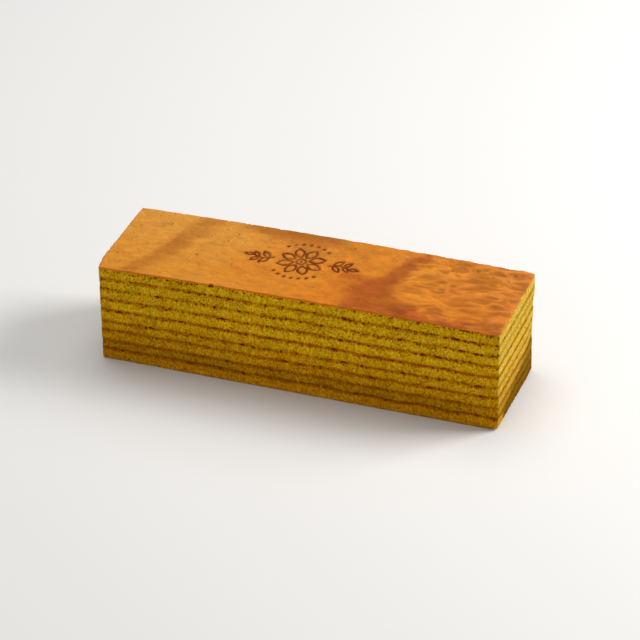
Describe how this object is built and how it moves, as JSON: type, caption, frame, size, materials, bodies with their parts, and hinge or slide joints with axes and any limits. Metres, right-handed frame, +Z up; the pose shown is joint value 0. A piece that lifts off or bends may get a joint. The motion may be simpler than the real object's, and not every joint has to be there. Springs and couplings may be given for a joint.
{
  "type": "layered butter cake bar",
  "caption": "Whole bar of baked layered pandan butter cake, cut on all sides, with browned lines between its sponge layers and a caramel-brown top skin.",
  "frame": {"origin": "middle of the flat base that the bar lies on", "axes": "+X along the bar, -Y is the front cut face, +Z is up towards the browned top"},
  "size_m": [0.2018, 0.0578, 0.0544],
  "materials": {
    "sponge_low": "fine matt cake crumb, olive brown",
    "sponge_middle": "fine matt cake crumb, dull yellow",
    "sponge_high": "fine matt cake crumb, yellow green",
    "browned_top": "satin caramel-brown baked skin over yellow-green crumb"
  },
  "bodies": {
    "root": {"sponge_layer_1": "sponge_low", "sponge_layer_2": "sponge_low", "sponge_layer_3": "sponge_low", "sponge_layer_4": "sponge_middle", "sponge_layer_5": "sponge_middle", "sponge_layer_6": "sponge_middle", "sponge_layer_7": "sponge_high", "sponge_layer_8": "sponge_high", "sponge_layer_9": "browned_top"}
  },
  "joints": []
}
